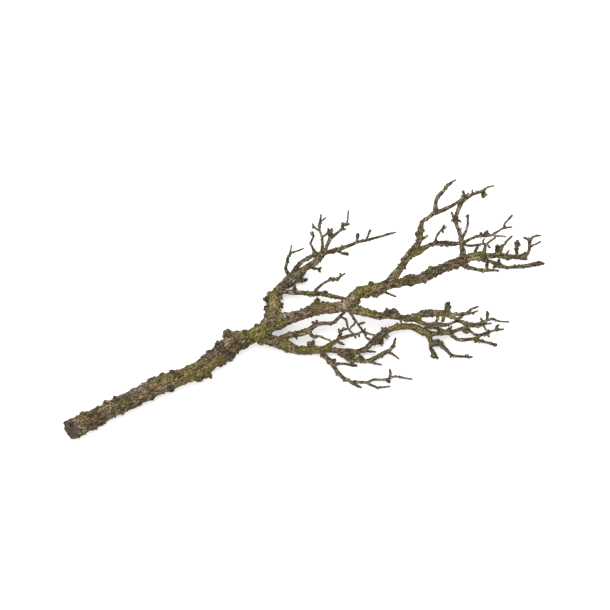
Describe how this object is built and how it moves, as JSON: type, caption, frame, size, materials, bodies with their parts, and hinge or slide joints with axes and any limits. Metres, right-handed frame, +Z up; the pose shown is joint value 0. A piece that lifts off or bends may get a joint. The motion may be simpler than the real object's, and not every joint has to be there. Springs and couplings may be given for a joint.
{
  "type": "lichen on a twig",
  "caption": "Crooked, much-forked dead twig lying flat, its bark crusted with lichen and moss; thick cut end at one side, fine spreading shoots at the other.",
  "frame": {"origin": "middle of the bounding box, at the level of the surface the twig lies on", "axes": "+X along the twig from its cut end towards its tips, +Y across it, +Z up from the surface"},
  "size_m": [0.5786, 0.3121, 0.1108],
  "materials": {
    "bark": "rough bark crusted with grey-green lichen and olive moss",
    "shoot_bark": "rough thin bark with grey-olive lichen lumps"
  },
  "bodies": {
    "root": {"trunk": "bark", "left_limb": "bark", "central_limb": "bark", "upper_limb": "bark", "upper_left_limb": "bark", "upper_right_limb": "bark", "tip_limb": "bark", "right_limb": "bark", "right_top_shoot": "bark", "lower_limb": "bark", "lower_runner": "bark", "lower_right_fan": "bark", "left_fan": "shoot_bark", "left_spray": "shoot_bark", "left_runner": "shoot_bark", "cross_shoot": "shoot_bark", "crown_shoot": "shoot_bark", "bridge_shoot": "shoot_bark", "upright_shoot": "shoot_bark", "tip_lower_shoot": "shoot_bark", "low_right_shoot": "shoot_bark", "right_mid_shoot": "shoot_bark", "inner_shoot": "shoot_bark", "lower_tuft": "shoot_bark", "lower_foot": "shoot_bark", "low_side_shoot": "shoot_bark", "hanging_shoot": "shoot_bark"}
  },
  "joints": []
}
